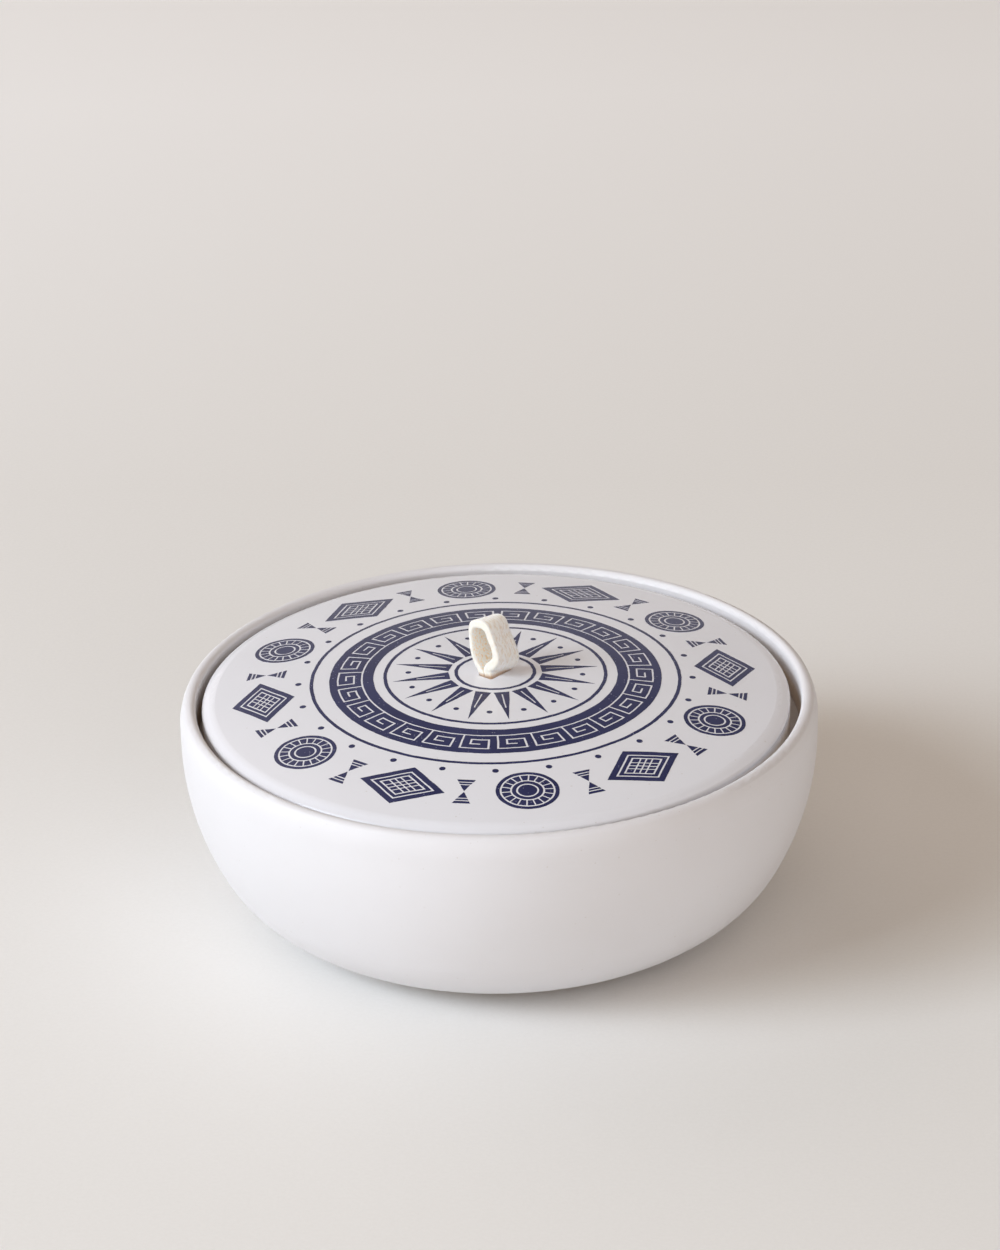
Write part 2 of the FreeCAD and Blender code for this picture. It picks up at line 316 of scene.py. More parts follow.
def ink_plan():
    """The whole ornament, flat round the origin, from the loop out to the rim."""
    shape = bmesh.new()
    ring_of_ink(shape, *FIRST_RING)
    set_round(shape, ray(), RAY_COUNT, RAY_RADIUS)
    set_round(shape, dot(RAY_DOT), RAY_COUNT, RAY_DOT_RADIUS, between=True)
    ring_of_ink(shape, *SECOND_RING)
    key_band(shape)
    ring_of_ink(shape, *THIRD_RING)
    set_round(shape, lozenge(), BORDER_COUNT, BORDER_RADIUS)
    set_round(shape, shield(), BORDER_COUNT, BORDER_RADIUS, between=True)
    set_round(shape, double_triangle(), 2 * BORDER_COUNT, BORDER_RADIUS, between=True)
    set_round(shape, dot(BORDER_DOT), 4 * BORDER_COUNT, BORDER_DOT_RADIUS, between=True)
    bmesh.ops.remove_doubles(shape, verts=shape.verts[:], dist=JOIN_REACH)
    return shape


def lay_on_lid(shape):
    """Cut the flat ink small enough to bend, waver its edges, and lay it on the dome."""
    steps = int(LID_REACH / INK_GRID)
    for axis in (RIGHT, BACK):
        for step in range(-steps, steps + 1):
            slice_faces(shape, shape.faces[:], axis * step * INK_GRID, axis)
    long_edges = {}
    for edge in shape.edges:
        cuts = int(edge.calc_length() / INK_EDGE_STEP)
        if edge.is_boundary and cuts:
            long_edges.setdefault(cuts, []).append(edge)
    for cuts, edges in sorted(long_edges.items()):
        bmesh.ops.subdivide_edges(shape, edges=edges, cuts=cuts)
    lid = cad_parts["lid"].data
    glaze = BVHTree.FromPolygons([vert.co for vert in lid.vertices],
                                 [face.vertices for face in lid.polygons])
    turn = Matrix.Rotation(INK_TURN, 4, "Z")
    noise.seed_set(WAVER_SEED)
    for vert in shape.verts:
        waver = Vector((0, 0, 0))
        for waves, reach in INK_WAVERS:
            waver += noise.noise_vector(vert.co * waves) * reach * MM
        flat = turn @ (vert.co + Vector((waver.x, waver.y, 0)))
        above = LID_MIDDLE + flat + UP * (LID_TOP + DROP)
        vert.co = glaze.ray_cast(above, -UP)[0] + UP * INK_RISE


def make_print():
    """The printed ornament: one thin layer of ink that follows the dome."""
    shape = ink_plan()
    lay_on_lid(shape)
    shape.normal_update()
    down = [face for face in shape.faces if face.normal.z < 0]
    bmesh.ops.reverse_faces(shape, faces=down)
    bmesh.ops.triangulate(shape, faces=shape.faces[:])
    sunk = bmesh.ops.extrude_face_region(shape, geom=shape.faces[:], use_keep_orig=True)["geom"]
    bmesh.ops.translate(shape, vec=-UP * INK_DEPTH,
                        verts=[part for part in sunk if isinstance(part, bmesh.types.BMVert)])
    bmesh.ops.recalc_face_normals(shape, faces=shape.faces[:])
    shade_smooth(shape)
    mesh = mesh_of("lid_print", shape)
    mesh.materials.append(ink_finish())
    new_object("lid_print", mesh, "lid_body")


# ---- The leather loop ----

# The strap's middle line from its left tail over the top to its right tail, in millimetres:
# across the lid and above its top at the strap's near edge, the same at its far edge, and the
# strap's thickness there
LOOP_ROUTE = (
    ((-1.20, -13.7), (-1.10, -13.7), 2.10),
    ((-1.30, -6.0), (-1.10, -6.0), 2.10),
    ((-1.42, -0.8), (-1.15, -0.8), 2.05),
    ((-2.20, 1.0), (-1.60, 0.9), 1.85),
    ((-3.40, 2.8), (-2.60, 2.2), 1.60),
    ((-4.75, 5.4), (-3.85, 4.6), 1.30),
    ((-5.35, 8.7), (-4.60, 7.7), 1.25),
    ((-5.50, 12.2), (-5.00, 11.0), 1.40),
    ((-4.90, 14.5), (-4.50, 13.2), 1.95),
    ((-3.30, 15.4), (-3.00, 14.3), 2.50),
    ((-1.30, 15.7), (-1.20, 14.8), 2.65),
    ((0.50, 15.0), (0.00, 14.5), 2.40),
    ((1.45, 13.3), (0.90, 13.1), 2.15),
    ((2.60, 10.9), (2.20, 10.5), 2.10),
    ((3.60, 8.5), (3.60, 7.7), 2.15),
    ((3.65, 6.3), (4.45, 5.1), 2.35),
    ((2.50, 4.6), (3.75, 2.9), 2.50),
    ((0.90, 3.1), (2.15, 1.4), 2.50),
    ((0.20, 1.6), (1.30, 0.2), 2.25),
    ((0.68, -0.8), (1.10, -0.9), 2.05),
    ((0.90, -6.0), (1.10, -6.0), 2.10),
    ((1.00, -13.7), (1.10, -13.7), 2.10),
)
# Steps between two points of the route, and the share of its length over which it is aimed
ROUTE_STEPS = 24
AIM_REACH = 0.008

STRAP_HALF = 4.25 * MM
STRAP_EDGE_ROUND = 0.5 * MM
# Cuts along, across and through the strap
STRAP_CUTS = (330, 38, 9)

# The loop stands turned on the lid
LOOP_TURN = math.radians(318)
LOOP_ACROSS = Vector((math.cos(LOOP_TURN), math.sin(LOOP_TURN), 0))
LOOP_ALONG = Vector((-math.sin(LOOP_TURN), math.cos(LOOP_TURN), 0))
LOOP_FOOT = LID_MIDDLE + UP * LID_TOP

# Where the loop comes out of the slot its near edge is drawn back, most on its right outside:
# it starts and ends between these heights above the lid's top, in millimetres
NEAR_SET_BACK = 0.25 * MM
RIGHT_SET_BACK = 0.6 * MM
SET_BACK_STARTS = (-5, -1)
SET_BACK_ENDS = (0.5, 4.5)

# The cut edges are uneven: how far, the waves to a metre along and through the strap, and the
# heights above the lid's top where it starts, all but the waves in millimetres
UNEVEN_REACH = 0.16
UNEVEN_WAVES = (420, 300)
UNEVEN_STARTS = (-1.5, 2)

# The free leather is crumpled and napped: where it starts above the lid's top, in metres, how
# far it goes, in millimetres, and the waves to a metre along, across and through the strap
FREE_STARTS = (-1.5 * MM, 2 * MM)
CRUMPLE_REACH = 0.10
CRUMPLE_WAVES = (260, 380, 700)
NAP_REACH = 0.07
NAP_WAVES = (1100, 3200, 3200)

# The rivet's height above the floor, the radius of its hole, and the punch that makes the hole
RIVET_HEIGHT = 60.9 * MM
RIVET_HOLE = 1.55 * MM
PUNCH_LENGTH = 12 * MM
PUNCH_SIDES = 48


def smooth_line(points):
    """A smooth line through some points, in many short steps."""
    line = []
    for number in range(len(points) - 1):
        start, end = points[number], points[number + 1]
        before = points[max(0, number - 1)]
        after = points[min(len(points) - 1, number + 2)]
        line += geometry.interpolate_bezier(start, start + (end - before) / 6,
                                            end - (after - start) / 6, end, ROUTE_STEPS)[:-1]
    return line + [points[-1]]


class Route:
    """A smooth line that gives its place at any share of its length."""

    def __init__(self, points):
        self.line = smooth_line([Vector(point) for point in points])
        self.lengths = rising((end.xy - start.xy).length
                              for start, end in zip(self.line, self.line[1:]))

    def at(self, share):
        """The place at a share of the length, from 0 to 1."""
        target = min(1.0, max(0.0, share)) * self.lengths[-1]
        index = min(bisect_right(self.lengths, target), len(self.lengths) - 1)
        low, high = self.lengths[index - 1], self.lengths[index]
        return self.line[index - 1].lerp(self.line[index], (target - low) / (high - low))


def rounded(section, half):
    """Draw a point of the strap's square section in to its rounded corners."""
    flat_half, flat_depth = STRAP_HALF - STRAP_EDGE_ROUND, half - STRAP_EDGE_ROUND
    inner = Vector((max(-flat_half, min(flat_half, section.x)),
                    max(-flat_depth, min(flat_depth, section.y))))
    corner = section - inner
    if not corner.length:
        return section
    return inner + corner.normalized() * max(abs(corner.x), abs(corner.y))


def straight_strip():
    """A cube from -1 to 1, cut into the strap's many steps."""
    shape = bmesh.new()
    bmesh.ops.create_cube(shape, size=2)
    for axis, cuts in enumerate(STRAP_CUTS):
        edges = [edge for edge in shape.edges
                 if abs(edge.verts[0].co[axis] - edge.verts[1].co[axis]) > 1]
        bmesh.ops.subdivide_edges(shape, edges=edges, cuts=cuts, use_grid_fill=True)
    return shape


def bend(vert, near, far):
    """Move a point of the strip to its place in the loop; give its place on the flat strap."""
    share, side = (vert.co.x + 1) / 2, (vert.co.y + 1) / 2
    back, here, on = (near.at(share + step).lerp(far.at(share + step), side)
                      for step in (-AIM_REACH, 0, AIM_REACH))
    ahead = (on.xy - back.xy).normalized()
    half = here.z / 2 * MM
    section = rounded(Vector((vert.co.y * STRAP_HALF, vert.co.z * half)), half)
    flat = Vector((share * near.lengths[-1] * MM, section.x, section.y))
    along, through = UNEVEN_WAVES
    uneven = noise.noise(Vector((flat.x * along, flat.z * through, 0))) * UNEVEN_REACH * MM
    section.x += blend_in(here.y, *UNEVEN_STARTS) * vert.co.y * uneven
    set_back = (blend_in(here.y, *SET_BACK_STARTS) * (1 - blend_in(here.y, *SET_BACK_ENDS))
                * (1 - side))
    on_right = vert.co.z + 1 if share > 0.5 else 0
    section.x += set_back * (NEAR_SET_BACK + RIGHT_SET_BACK * on_right / 2)
    turned = Vector((-ahead.y, ahead.x)) * section.y
    vert.co = (LOOP_FOOT + LOOP_ACROSS * (here.x * MM + turned.x) + LOOP_ALONG * section.x
               + UP * (here.y * MM + turned.y))
    return flat


def noise_on_strap(flat, waves):
    """A smooth noise, from -1 to 1, at a place on the flat strap."""
    return noise.noise(Vector([part * wave for part, wave in zip(flat, waves)]))


def make_loop():
    """The folded strap: a straight strip with rounded edges, bent along its route."""
    near, far = (Route([(*place[side], place[2]) for place in LOOP_ROUTE]) for side in (0, 1))
    shape = straight_strip()
    flat_place = shape.verts.layers.float_vector.new("flat_place")
    for vert in shape.verts:
        vert[flat_place] = bend(vert, near, far)
    bmesh.ops.recalc_face_normals(shape, faces=shape.faces[:])
    shape.normal_update()
    starts, full = FREE_STARTS
    for vert in shape.verts:
        flat = vert[flat_place]
        free = blend_in(vert.co.z, LID_TOP + starts, LID_TOP + full)
        crumple = noise_on_strap(flat, CRUMPLE_WAVES) * CRUMPLE_REACH
        nap = noise_on_strap(flat, NAP_WAVES) * NAP_REACH
        vert.co += vert.normal * free * (crumple + nap) * MM
    shade_smooth(shape)
    mesh = mesh_of("leather_loop", shape)
    mesh.materials.append(leather_finish())
    loop = new_object("leather_loop", mesh, "lid_body")
    punch_hole(loop)
    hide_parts("pull_strap")


def punch_hole(loop):
    """Punch the rivet's hole through both tails."""
    shape = bmesh.new()
    made = bmesh.ops.create_cone(shape, cap_ends=True, segments=PUNCH_SIDES, radius1=RIVET_HOLE,
                                 radius2=RIVET_HOLE, depth=PUNCH_LENGTH)
    lie = LOOP_ACROSS.to_track_quat("Z", "Y").to_matrix().to_4x4()
    place = Matrix.Translation(LID_MIDDLE + UP * RIVET_HEIGHT)
    bmesh.ops.transform(shape, matrix=place @ lie, verts=made["verts"])
    punch = new_object("punch", mesh_of("punch", shape))
    cut = loop.modifiers.new("hole", "BOOLEAN")
    cut.operation = "DIFFERENCE"
    cut.solver = "EXACT"
    cut.object = punch
    ready = loop.evaluated_get(bpy.context.evaluated_depsgraph_get())
    whole = loop.data
    loop.data = bpy.data.meshes.new_from_object(ready)
    loop.modifiers.clear()
    bpy.data.objects.remove(punch)
    bpy.data.meshes.remove(whole)


# ---- Nodes ----

def feed(tree, socket, value):
    """Link a socket to another, or set it to a number, a vector or a colour of three numbers."""
    if isinstance(value, bpy.types.NodeSocket):
        tree.links.new(value, socket)
    elif socket.type == "RGBA":
        socket.default_value = (*value, 1)
    else:
        socket.default_value = value


def node(tree, kind, sockets=(), **settings):
    """Add a node, give its settings, and feed its sockets by their names."""
    made = tree.nodes.new(kind)
    for name, value in settings.items():
        setattr(made, name, value)
    for name, value in dict(sockets).items():
        feed(tree, made.inputs[name], value)
    return made


def math_node(tree, operation, first, second=0.0, clamp=False):
    """One step of arithmetic."""
    made = node(tree, "ShaderNodeMath", operation=operation, use_clamp=clamp)
    feed(tree, made.inputs[0], first)
    feed(tree, made.inputs[1], second)
    return made.outputs["Value"]


def scale_range(tree, value, low, high, new_low=0.0, new_high=1.0):
    """Map one range of a value to another, and hold it at the ends."""
    return node(tree, "ShaderNodeMapRange", {
        "Value": value, "From Min": low, "From Max": high, "To Min": new_low,
        "To Max": new_high}).outputs["Result"]


def blend_colours(tree, share, first, second):
    """Mix two colours, each a socket or three numbers."""
    made = node(tree, "ShaderNodeMix", data_type="RGBA")
    feed(tree, made.inputs[0], share)
    colours = [socket for socket in made.inputs if socket.type == "RGBA"]
    for socket, value in zip(colours, (first, second)):
        feed(tree, socket, value)
    return next(socket for socket in made.outputs if socket.type == "RGBA")


def cloud(tree, place, scale, detail, **more):
    """The value of a cloudy noise, mostly from 0.3 to 0.7."""
    return node(tree, "ShaderNodeTexNoise", {
        "Vector": place, "Scale": scale, "Detail": detail, **more}).outputs["Fac"]


def parts_of(tree, vector):
    """The X, Y and Z of a vector."""
    return node(tree, "ShaderNodeSeparateXYZ", {"Vector": vector}).outputs


def relief(tree, height):
    """A bumpy surface whose height is in millimetres."""
    return node(tree, "ShaderNodeBump", {"Height": height, "Distance": MM}).outputs["Normal"]


def object_place(tree):
    """A point's place on its own piece."""
    return node(tree, "ShaderNodeTexCoord").outputs["Object"]


# ---- Shared effects ----

def new_group(name, inputs, outputs):
    """A node group with named sockets, each (name, kind) or (name, kind, first value)."""
    tree = bpy.data.node_groups.new(name, "ShaderNodeTree")
    for title, kind, *first in inputs:
        socket = tree.interface.new_socket(title, in_out="INPUT", socket_type=f"NodeSocket{kind}")
        if first:
            socket.default_value = first[0]
    for title, kind in outputs:
        tree.interface.new_socket(title, in_out="OUTPUT", socket_type=f"NodeSocket{kind}")
    return tree, tree.nodes.new("NodeGroupInput").outputs, tree.nodes.new("NodeGroupOutput").inputs


def make_fired_skin():
    """Fired glaze or ink: a soft mottle, small specks and a fine grain."""
    tree, given, result = new_group("fired_skin", [
        ("Vector", "Vector"),
        ("Colour", "Color"),
        ("Mottle Colour", "Color"),
        ("Speck Colour", "Color"),
        ("Mottle Scale", "Float", 30.0),
        ("Speck Scale", "Float", 700.0),
        ("Speck Share", "Float", 0.05),
        ("Grain Scale", "Float", 1500.0),
        ("Grain Height", "Float", 0.01),
        ("Low Roughness", "Float", 0.5),
        ("High Roughness", "Float", 0.6),
    ], [("Colour", "Color"), ("Roughness", "Float"), ("Normal", "Vector")])
    place = given["Vector"]
    mottle = scale_range(tree, cloud(tree, place, given["Mottle Scale"], 4.0), 0.35, 0.65)
    mottled = blend_colours(tree, mottle, given["Colour"], given["Mottle Colour"])
    cell = node(tree, "ShaderNodeTexVoronoi", {
        "Vector": place, "Scale": given["Speck Scale"]}).outputs
    chance = node(tree, "ShaderNodeSeparateColor", {"Color": cell["Color"]}).outputs
    chosen = math_node(tree, "LESS_THAN", chance["Red"], given["Speck Share"])
    size = scale_range(tree, chance["Green"], 0, 1, 0.1, 0.34)
    inside = math_node(tree, "SUBTRACT", size, cell["Distance"])
    specks = math_node(tree, "MULTIPLY", chosen, scale_range(tree, inside, 0, 0.08))
    feed(tree, result["Colour"], blend_colours(tree, specks, mottled, given["Speck Colour"]))
    smear_scale = math_node(tree, "MULTIPLY", given["Mottle Scale"], 3.0)
    feed(tree, result["Roughness"], scale_range(
        tree, cloud(tree, place, smear_scale, 3.0), 0.3, 0.7, given["Low Roughness"],
        given["High Roughness"]))
    pitted = math_node(tree, "SUBTRACT", cloud(tree, place, given["Grain Scale"], 3.0), specks)
    height = math_node(tree, "MULTIPLY", pitted, given["Grain Height"])
    feed(tree, result["Normal"], relief(tree, height))
    return tree


def make_ring_mask():
    """A mask of what lies between two heights and between two radii round an upright axis."""
    tree, given, result = new_group("ring_mask", [
        ("Vector", "Vector"),
        ("Middle", "Vector"),
        ("Inner", "Float", 0.0),
        ("Outer", "Float", 1.0),
        ("Low", "Float", 0.0),
        ("High", "Float", 1.0),
        ("Softness", "Float", 0.1 * MM),
    ], [("Mask", "Float")])
    moved = node(tree, "ShaderNodeVectorMath", operation="SUBTRACT")
    feed(tree, moved.inputs[0], given["Vector"])
    feed(tree, moved.inputs[1], given["Middle"])
    parts = parts_of(tree, moved.outputs["Vector"])
    across = math_node(tree, "POWER", parts["X"], 2.0)
    along = math_node(tree, "POWER", parts["Y"], 2.0)
    radius = math_node(tree, "SQRT", math_node(tree, "ADD", across, along))
    mask = 1.0
    for value, low, high in ((radius, "Inner", "Outer"), (parts["Z"], "Low", "High")):
        for first, second in ((value, given[low]), (given[high], value)):
            past = math_node(tree, "SUBTRACT", first, second)
            share = math_node(tree, "DIVIDE", past, given["Softness"], clamp=True)
            mask = math_node(tree, "MULTIPLY", mask, share)
    feed(tree, result["Mask"], mask)
    return tree


fired_skin = make_fired_skin()
ring_mask = make_ring_mask()


# ---- Finishes ----

CERAMIC_IOR = 1.5
# Bare clay; where it lines the gap between lid and bowl its darker warm tone is also painted shade
CLAY_LIGHT = (0.76, 0.67, 0.58)
CLAY_DARK = (0.66, 0.56, 0.46)
CLAY_ROUGHNESS = 0.92
GLAZE_WHITE = (0.752, 0.745, 0.765)
GLAZE_SHADE = (0.737, 0.729, 0.748)
GLAZE_SPECK = (0.68, 0.66, 0.66)
SATIN_WHITE = (0.792, 0.80, 0.842)
SATIN_SHADE = (0.777, 0.785, 0.825)
SATIN_SPECK = (0.70, 0.69, 0.70)
# The lid and its ink share one gloss and one grain
SATIN_SURFACE = {"Grain Scale": 900.0, "Grain Height": 0.006,
                 "Low Roughness": 0.21, "High Roughness": 0.27}
INK_BLUE = (0.019, 0.022, 0.078)
INK_SHADE = (0.027, 0.031, 0.098)
INK_SPECK = (0.20, 0.21, 0.30)

LEATHER_STREAK = (0.84, 0.76, 0.66)
LEATHER_PALE = (1.0, 1.0, 0.97)
LEATHER_CREAM = (1.0, 0.97, 0.91)
LEATHER_FLECK = (1.0, 0.76, 0.50)
CUT_EDGE = (0.98, 0.93, 0.83)
CUT_EDGE_SHADE = (0.96, 0.87, 0.73)
# Painted shade: towards the slot the leather is painted darker and browner, as the shade where it
# goes into the lid, from this far above the lid's top and by this share
SLOT_SHADE_COLOUR = (0.55, 0.30, 0.14)
SLOT_SHADE_FROM = 0.9 * MM
SLOT_SHADE_SHARE = 0.75
# The smooth cut edges start between these distances from the strap's middle line
EDGE_STARTS = (3.85 * MM, 4.1 * MM)
# Heights of the nap, in millimetres: its long streaks and its fluff
STREAK_HEIGHT = 0.24
FLUFF_HEIGHT = 0.07

BRASS = (0.72, 0.52, 0.22)
TARNISH = (0.46, 0.32, 0.15)

PAPER = (0.80, 0.793, 0.776)
PAPER_FIBRE = (0.82, 0.813, 0.796)
# Painted light: far behind the box the paper is painted this brighter, cooler colour, as if more
# lit there
PAPER_PAINTED_LIGHT = (0.94, 0.945, 0.95)
# The paper turns to that painted light between these distances behind the box
PAINTED_LIGHT_TURNS = (0.3, 0.75)


def new_finish(name, **settings):
    """A material with plain settings on its shader; give it, its tree and the shader's sockets."""
    material = bpy.data.materials.new(name)
    material.use_nodes = True
    tree = material.node_tree
    shader = tree.nodes["Principled BSDF"].inputs
    for title, value in settings.items():
        feed(tree, shader[title.replace("_", " ")], value)
    return material, tree, shader


def fired_finish(name, values, bare=()):
    """A material of fired skin, with bare clay in the rings where no glaze lies."""
    material, tree, shader = new_finish(name, IOR=CERAMIC_IOR)
    place = object_place(tree)
    skin = node(tree, "ShaderNodeGroup", {"Vector": place, **values}, node_tree=fired_skin).outputs
    colour, roughness = skin["Colour"], skin["Roughness"]
    if bare:
        grog = cloud(tree, place, 650.0, 5.0, Roughness=0.7)
        clay = blend_colours(tree, scale_range(tree, grog, 0.42, 0.72), CLAY_LIGHT, CLAY_DARK)
    for ring in bare:
        mask = node(tree, "ShaderNodeGroup", {"Vector": place, **ring},
                    node_tree=ring_mask).outputs["Mask"]
        colour = blend_colours(tree, mask, colour, clay)
        roughness = scale_range(tree, mask, 0.0, 1.0, roughness, CLAY_ROUGHNESS)
    feed(tree, shader["Base Color"], colour)
    feed(tree, shader["Roughness"], roughness)
    feed(tree, shader["Normal"], skin["Normal"])
    return material


def matte_finish():
    """The bowl's matte white glaze; the underside, the ledge and the wall above it are bare clay,
    and in the gap round the lid the clay's dark warm tone is also painted shade.
    """
    underside = {"Inner": -1 * MM, "Outer": 75 * MM, "Low": -1 * MM, "High": 2.6 * MM,
                 "Softness": 0.4 * MM}
    # Bare clay in the mouth, darker and warmer than the glaze: real unglazed clay that is also
    # painted shade in the gap round the lid
    mouth = {"Inner": 77 * MM, "Outer": 87 * MM, "Low": LID_SEAT - 0.5 * MM,
             "High": LID_SEAT + 6.5 * MM, "Softness": 1.5 * MM}
    return fired_finish("matte_glaze", {
        "Colour": GLAZE_WHITE, "Mottle Colour": GLAZE_SHADE, "Speck Colour": GLAZE_SPECK,
        "Mottle Scale": 26.0, "Speck Scale": 1100.0, "Speck Share": 0.02,
        "Grain Scale": 1700.0, "Grain Height": 0.012,
        "Low Roughness": 0.52, "High Roughness": 0.62,
    }, [underside, mouth])


def satin_finish():
    """The lid's satin white glaze; its standing edge and the side above that are bare clay, whose
    dark warm tone on the side in the gap is also painted shade.
    """
    # Bare clay on the lid's edge and side, reaching up into sight: real unglazed clay that is also
    # painted shade along the gap
    edge = {"Middle": tuple(LID_MIDDLE), "Inner": 60 * MM, "Outer": 90 * MM, "Low": 0.0,
            "High": LID_SEAT + 9.3 * MM, "Softness": 2.5 * MM}
    return fired_finish("satin_glaze", {
        "Colour": SATIN_WHITE, "Mottle Colour": SATIN_SHADE, "Speck Colour": SATIN_SPECK,
        "Mottle Scale": 34.0, "Speck Scale": 1000.0, "Speck Share": 0.02, **SATIN_SURFACE,
    }, [edge])


def ink_finish():
    """Dark blue ink under the lid's glaze, with fine pale specks."""
    return fired_finish("blue_ink", {
        "Colour": INK_BLUE, "Mottle Colour": INK_SHADE, "Speck Colour": INK_SPECK,
        "Mottle Scale": 90.0, "Speck Scale": 1500.0, "Speck Share": 0.16, **SATIN_SURFACE,
    })


def leather_finish():
    """Pale undyed leather: napped outside, flecked inside, smooth and cream on its cut edges, with
    painted shade towards the slot.
    """
    material, tree, shader = new_finish(
        "undyed_leather", IOR=1.45, Sheen_Weight=1.0, Sheen_Roughness=0.5,
        Subsurface_Weight=0.7, Subsurface_Radius=(1.0, 0.92, 0.80), Subsurface_Scale=3.0 * MM)
    flat = node(tree, "ShaderNodeAttribute", attribute_name="flat_place").outputs["Vector"]
    parts = parts_of(tree, flat)
    stretched = node(tree, "ShaderNodeMapping", {
        "Vector": flat, "Scale": (800, 2100, 1300)}).outputs["Vector"]
    streaks = cloud(tree, stretched, 1.0, 4.0, Roughness=0.6)
    fluff = cloud(tree, flat, 4200.0, 3.0)
    patches = cloud(tree, flat, 900.0, 4.0)
    flecks = cloud(tree, flat, 1600.0, 3.0)
    outside = blend_colours(tree, scale_range(tree, streaks, 0.38, 0.54),
                            LEATHER_STREAK, LEATHER_PALE)
    inside = blend_colours(tree, scale_range(tree, flecks, 0.50, 0.62),
                           LEATHER_CREAM, LEATHER_FLECK)
    is_outside = scale_range(tree, parts["Z"], -0.3 * MM, 0.3 * MM)
    faces = blend_colours(tree, is_outside, inside, outside)
    edge = blend_colours(tree, scale_range(tree, patches, 0.35, 0.7), CUT_EDGE, CUT_EDGE_SHADE)
    from_middle = math_node(tree, "ABSOLUTE", parts["Y"])
    is_edge = scale_range(tree, from_middle, *EDGE_STARTS)
    clean = blend_colours(tree, is_edge, faces, edge)
    # Painted shade: the leather turns dark brown just above the lid's top, by the slot
    height = parts_of(tree, object_place(tree))["Z"]
    slot_shade_mask = scale_range(tree, height, LID_TOP + SLOT_SHADE_FROM, LID_TOP)
    feed(tree, shader["Base Color"], blend_colours(
        tree, math_node(tree, "MULTIPLY", slot_shade_mask, SLOT_SHADE_SHARE), clean, SLOT_SHADE_COLOUR))
    feed(tree, shader["Roughness"], scale_range(tree, streaks, 0.3, 0.7, 0.95, 0.78))
    nap = math_node(tree, "ADD", math_node(tree, "MULTIPLY", streaks, STREAK_HEIGHT),
                    math_node(tree, "MULTIPLY", fluff, FLUFF_HEIGHT))
    feed(tree, shader["Normal"], relief(tree, nap))
    return material


def brass_finish():
    """Satin brass with fine turning marks and a little tarnish."""
    material, tree, shader = new_finish("satin_brass", Metallic=1.0)
    place = object_place(tree)
    dull = cloud(tree, place, 420.0, 5.0)
    feed(tree, shader["Base Color"], blend_colours(
        tree, scale_range(tree, dull, 0.4, 0.68), BRASS, TARNISH))
    feed(tree, shader["Roughness"], scale_range(tree, dull, 0.35, 0.7, 0.26, 0.48))
    marks = cloud(tree, place, 5200.0, 3.0)
    feed(tree, shader["Normal"], relief(tree, math_node(tree, "MULTIPLY", marks, 0.01)))
    return material


def paper_finish():
    """Pale matt paper with a faint fibre grain, and painted light that makes it brighter far
    behind the box.
    """
    material, tree, shader = new_finish("paper", Roughness=0.92)
    place = object_place(tree)
    fibre = cloud(tree, place, 900.0, 4.0)
    near = blend_colours(tree, scale_range(tree, fibre, 0.3, 0.7), PAPER, PAPER_FIBRE)
    # Painted light: the paper brightens towards the back
    painted_light_mask = scale_range(tree, parts_of(tree, place)["Y"], *PAINTED_LIGHT_TURNS)
    feed(tree, shader["Base Color"], blend_colours(tree, painted_light_mask, near, PAPER_PAINTED_LIGHT))
    feed(tree, shader["Normal"], relief(tree, math_node(tree, "MULTIPLY", fibre, 0.03)))
    return material


# ---- Camera, floor and light ----

# The camera, placed from the outlines of rim, lip and lid in the picture of 1000 by 1250
PICTURE_HEIGHT = 1250
CAMERA_PLACE = Vector((0.0, -1.03774, 0.570396))
CAMERA_PITCH = math.radians(25.0765)
CAMERA_YAW = math.radians(0.0467)
CAMERA_ROLL = 0.0219
FOCAL_PIXELS = 4090
SENSOR = 36.0

# Half the side of the paper that the box stands on
FLOOR_HALF = 4.0

# Name, azimuth from +X towards +Y and rise in degrees, distance and size in metres, power in
# watts and colour
LAMPS = (
    ("window", 203, 30, 3.0, 1.7, 57.0, (0.86, 0.94, 1.0)),
    ("window_core", 198, 30, 3.0, 0.9, 24.6, (0.76, 0.855, 0.99)),
    ("front", 275, 35, 3.0, 2.4, 12.6, (1.0, 0.91, 0.92)),
    ("back", 130, 30, 3.0, 2.4, 14.4, (1.0, 0.90, 0.88)),
    ("right", 300, 12, 9.0, 5.1, 146.0, (0.93, 0.96, 1.0)),
)
FILL_COLOUR = (1.0, 0.82, 0.65)
FILL_STRENGTH = 0.365
# What gloss and the camera see of the room: how far up, 0 at the horizon and 1 overhead, and
# the colour there
ROOM = (
    (0.25, (0.62, 0.60, 0.62)),
    (0.42, (0.36, 0.34, 0.39)),
    (0.65, (0.12, 0.11, 0.15)),
)


def make_camera():
    """The camera of the picture."""
    data = bpy.data.cameras.new("camera")
    data.sensor_width = SENSOR
    data.lens = FOCAL_PIXELS * SENSOR / PICTURE_HEIGHT
    camera = new_object("camera", data)
    turn = (Matrix.Rotation(-CAMERA_YAW, 4, "Z")
            @ Matrix.Rotation(math.pi / 2 - CAMERA_PITCH, 4, "X")
            @ Matrix.Rotation(-CAMERA_ROLL, 4, "Z"))
    camera.matrix_world = Matrix.Translation(CAMERA_PLACE) @ turn
    bpy.context.scene.camera = camera


def make_floor():
    """A plain sheet of paper under the box."""
    shape = bmesh.new()
    bmesh.ops.create_grid(shape, x_segments=1, y_segments=1, size=FLOOR_HALF)
    floor = new_object("floor", mesh_of("floor", shape))
    floor.data.materials.append(paper_finish())


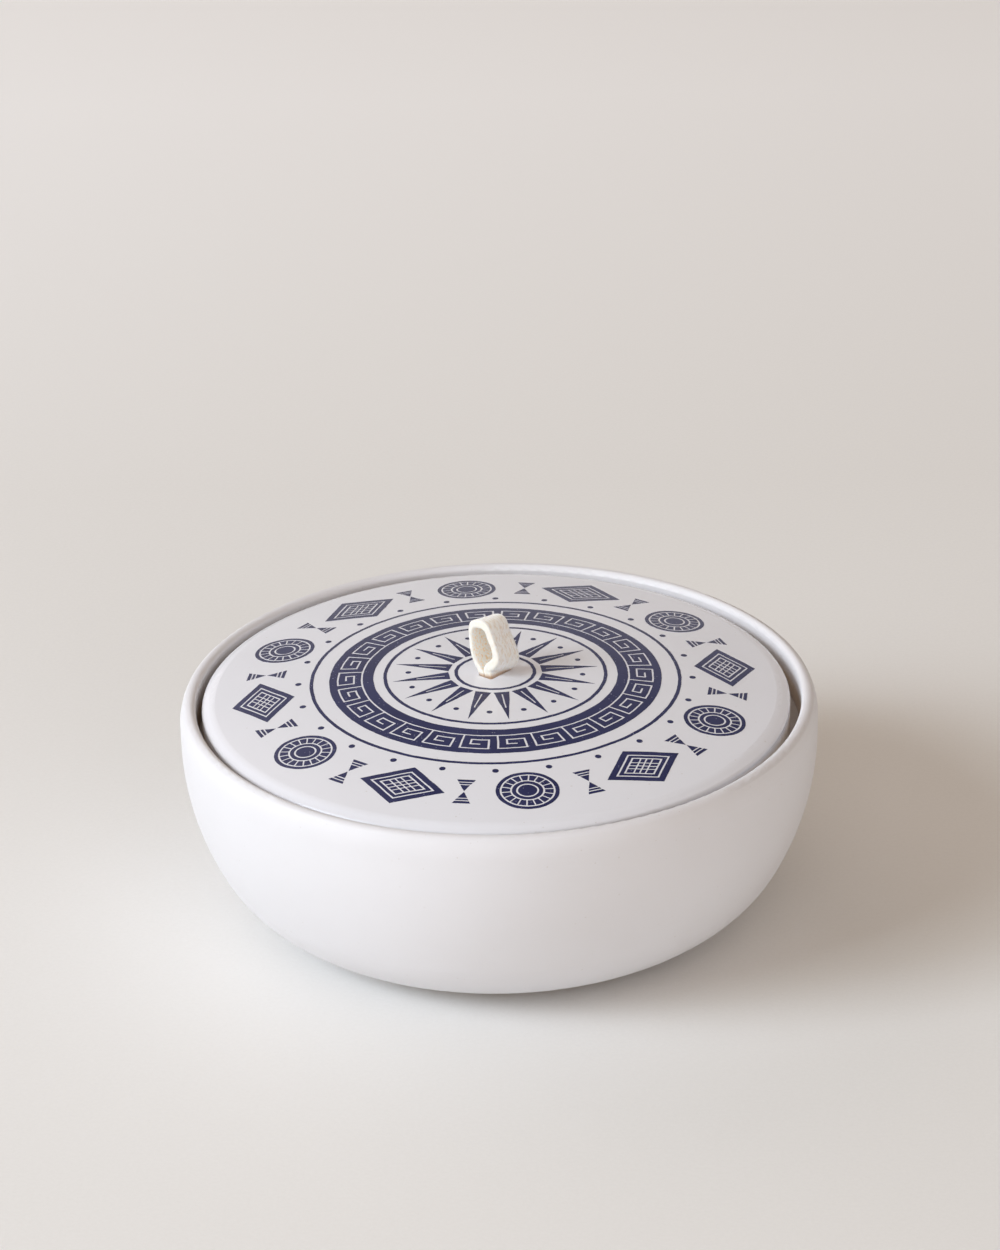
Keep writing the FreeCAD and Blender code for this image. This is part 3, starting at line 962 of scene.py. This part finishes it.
def area_lamp(name, azimuth, rise, distance, size, energy, colour):
    """A square soft lamp that looks at the box."""
    data = bpy.data.lights.new(name, "AREA")
    data.shape = "SQUARE"
    data.size = size
    data.energy = energy
    data.color = colour
    lamp = new_object(name, data)
    azimuth, rise = math.radians(azimuth), math.radians(rise)
    out = Vector((math.cos(azimuth) * math.cos(rise), math.sin(azimuth) * math.cos(rise),
                  math.sin(rise)))
    lamp.location = out * distance
    lamp.rotation_euler = out.to_track_quat("Z", "Y").to_euler()


def make_world():
    """A plain warm fill; gloss sees a bright backdrop low down and a dark room above it."""
    world = bpy.data.worlds.new("room")
    bpy.context.scene.world = world
    world.use_nodes = True
    tree = world.node_tree
    fill = tree.nodes["Background"]
    feed(tree, fill.inputs["Color"], FILL_COLOUR)
    feed(tree, fill.inputs["Strength"], FILL_STRENGTH)
    toward = node(tree, "ShaderNodeTexCoord").outputs["Generated"]
    ramp = node(tree, "ShaderNodeValToRGB", {"Fac": parts_of(tree, toward)["Z"]})
    stops = ramp.color_ramp.elements
    (low, low_colour), (middle, middle_colour), (high, high_colour) = ROOM
    stops[0].position, stops[0].color = low, (*low_colour, 1)
    stops[1].position, stops[1].color = high, (*high_colour, 1)
    stops.new(middle).color = (*middle_colour, 1)
    seen = node(tree, "ShaderNodeBackground", {"Color": ramp.outputs["Color"]})
    path = node(tree, "ShaderNodeLightPath").outputs
    is_seen = math_node(tree, "MAXIMUM", path["Is Glossy Ray"], path["Is Camera Ray"])
    both = node(tree, "ShaderNodeMixShader", {"Fac": is_seen})
    feed(tree, both.inputs[1], fill.outputs["Background"])
    feed(tree, both.inputs[2], seen.outputs["Background"])
    feed(tree, tree.nodes["World Output"].inputs["Surface"], both.outputs["Shader"])


def main():
    """Set the stage, finish the pieces kept from the CAD, and make the two new ones."""
    make_camera()
    make_floor()
    make_world()
    for lamp in LAMPS:
        area_lamp(*lamp)
    bpy.context.scene.view_settings.view_transform = "Standard"
    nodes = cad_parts
    nodes["bowl"].data.materials[0] = matte_finish()
    nodes["lid"].data.materials[0] = satin_finish()
    brass = brass_finish()
    for name in ("rivet_post", "rivet_cap"):
        nodes[name].data.materials[0] = brass
    make_print()
    make_loop()


main()
